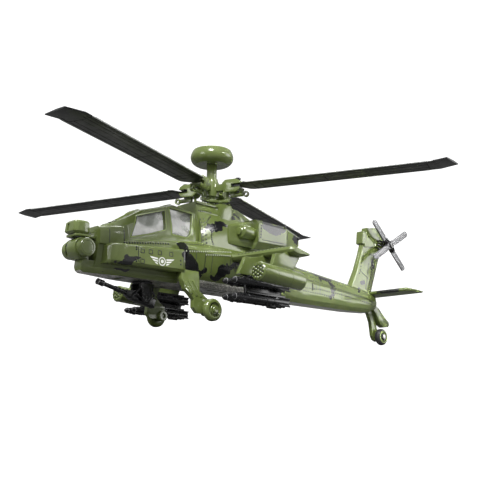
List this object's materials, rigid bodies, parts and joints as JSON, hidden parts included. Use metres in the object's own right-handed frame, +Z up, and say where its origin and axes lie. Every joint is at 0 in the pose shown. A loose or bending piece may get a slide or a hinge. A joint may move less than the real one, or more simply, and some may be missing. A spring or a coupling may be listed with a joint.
{
  "type": "toy helicopter",
  "caption": "Small die-cast and plastic toy attack helicopter with a main rotor, mast radome, tail rotor, stub wings with stores, a chin gun and rolling wheels that turn.",
  "frame": {"origin": "middle of the whole toy's plan, on the ground under the wheels", "axes": "+Z up, nose towards -Y, the helicopter's port (left) side towards +X"},
  "size_m": [0.2184, 0.261, 0.0865],
  "materials": {
    "green_painted_casting": "gloss olive green paint with black and grey camouflage patches on cast metal",
    "green_plastic": "gloss olive green moulded plastic",
    "black_plastic": "black moulded plastic, semi-gloss",
    "charcoal_plastic": "dark charcoal moulded plastic, satin",
    "clear_plastic": "clear moulded plastic",
    "pale_plastic": "pale grey interior moulding",
    "steel": "steel screws and axle pins"
  },
  "bodies": {
    "airframe": {"fuselage_upper": "green_painted_casting", "fuselage_lower": "green_plastic", "body_screws": "steel", "tail_boom": "green_painted_casting", "stabilator": "green_plastic", "tail_gearbox": "green_plastic", "cheek_fairing_left": "green_painted_casting", "cheek_fairing_right": "green_painted_casting", "canopy_frame": "green_painted_casting", "canopy_glazing": "clear_plastic", "cockpit_tub": "pale_plastic", "cockpit_seats": "green_plastic", "rotor_pylon": "green_painted_casting", "engine_nacelle_left": "green_plastic", "engine_nacelle_right": "green_plastic", "nose_gearbox_left": "green_plastic", "nose_gearbox_right": "green_plastic", "stub_wing_left": "green_plastic", "stub_wing_right": "green_plastic", "outer_pylon_left": "green_plastic", "outer_pylon_right": "green_plastic", "inner_pylon_left": "green_plastic", "inner_pylon_right": "green_plastic", "rocket_pod_left": "green_plastic", "rocket_pod_right": "green_plastic", "missile_rack_left": "black_plastic", "missile_rack_right": "black_plastic", "missiles_left": "black_plastic", "missiles_right": "black_plastic", "main_gear_leg_left": "green_plastic", "main_gear_leg_right": "green_plastic", "main_axle_left": "steel", "main_axle_right": "steel", "tail_gear": "green_plastic", "tail_axle": "steel", "sensor_neck": "green_plastic", "lower_sensor": "green_plastic"},
    "main_rotor": {"main_mast": "green_plastic", "rotor_hub": "green_plastic", "radome_post": "green_plastic", "radome": "green_plastic", "rotor_blade_1": "charcoal_plastic", "rotor_blade_2": "charcoal_plastic", "rotor_blade_3": "charcoal_plastic", "rotor_blade_4": "charcoal_plastic", "blade_pins": "black_plastic", "lag_dampers": "green_plastic", "pitch_links": "green_plastic", "swashplate": "green_plastic"},
    "tail_rotor": {"tail_rotor_hub": "black_plastic", "tail_rotor_blade_inner": "charcoal_plastic", "tail_rotor_blade_outer": "charcoal_plastic"},
    "wheel_left": {"main_wheel_left": "green_plastic"},
    "wheel_right": {"main_wheel_right": "green_plastic"},
    "wheel_tail": {"tail_wheel": "black_plastic"},
    "gun_turret": {"gun_mount": "black_plastic"},
    "gun": {"gun_receiver": "black_plastic", "gun_barrel": "black_plastic"},
    "night_sensor": {"upper_sensor": "green_plastic"}
  },
  "joints": [
    {"name": "main_rotor_spin", "type": "hinge", "parent": "airframe", "child": "main_rotor", "pos_m": [0, -0.02133, 0.064], "axis": [0, 0, 1], "continuous": true},
    {"name": "tail_rotor_spin", "type": "hinge", "parent": "airframe", "child": "tail_rotor", "pos_m": [0.006, 0.11362, 0.0583], "axis": [1, 0, 0], "continuous": true},
    {"name": "wheel_left_spin", "type": "hinge", "parent": "airframe", "child": "wheel_left", "pos_m": [0.01955, -0.03703, 0.0049], "axis": [1, 0, 0], "continuous": true},
    {"name": "wheel_right_spin", "type": "hinge", "parent": "airframe", "child": "wheel_right", "pos_m": [-0.01955, -0.03703, 0.0049], "axis": [1, 0, 0], "continuous": true},
    {"name": "wheel_tail_spin", "type": "hinge", "parent": "airframe", "child": "wheel_tail", "pos_m": [0.0017, 0.11027, 0.0047], "axis": [1, 0, 0], "continuous": true},
    {"name": "gun_traverse", "type": "hinge", "parent": "airframe", "child": "gun_turret", "pos_m": [0, -0.06043, 0.016], "axis": [0, 0, 1], "range_deg": [-80, 80]},
    {"name": "gun_elevation", "type": "hinge", "parent": "gun_turret", "child": "gun", "pos_m": [0, -0.06043, 0.0089], "axis": [1, 0, 0], "range_deg": [-2, 20]},
    {"name": "night_sensor_yaw", "type": "hinge", "parent": "airframe", "child": "night_sensor", "pos_m": [0, -0.09443, 0.032], "axis": [0, 0, 1], "range_deg": [-90, 90]}
  ]
}
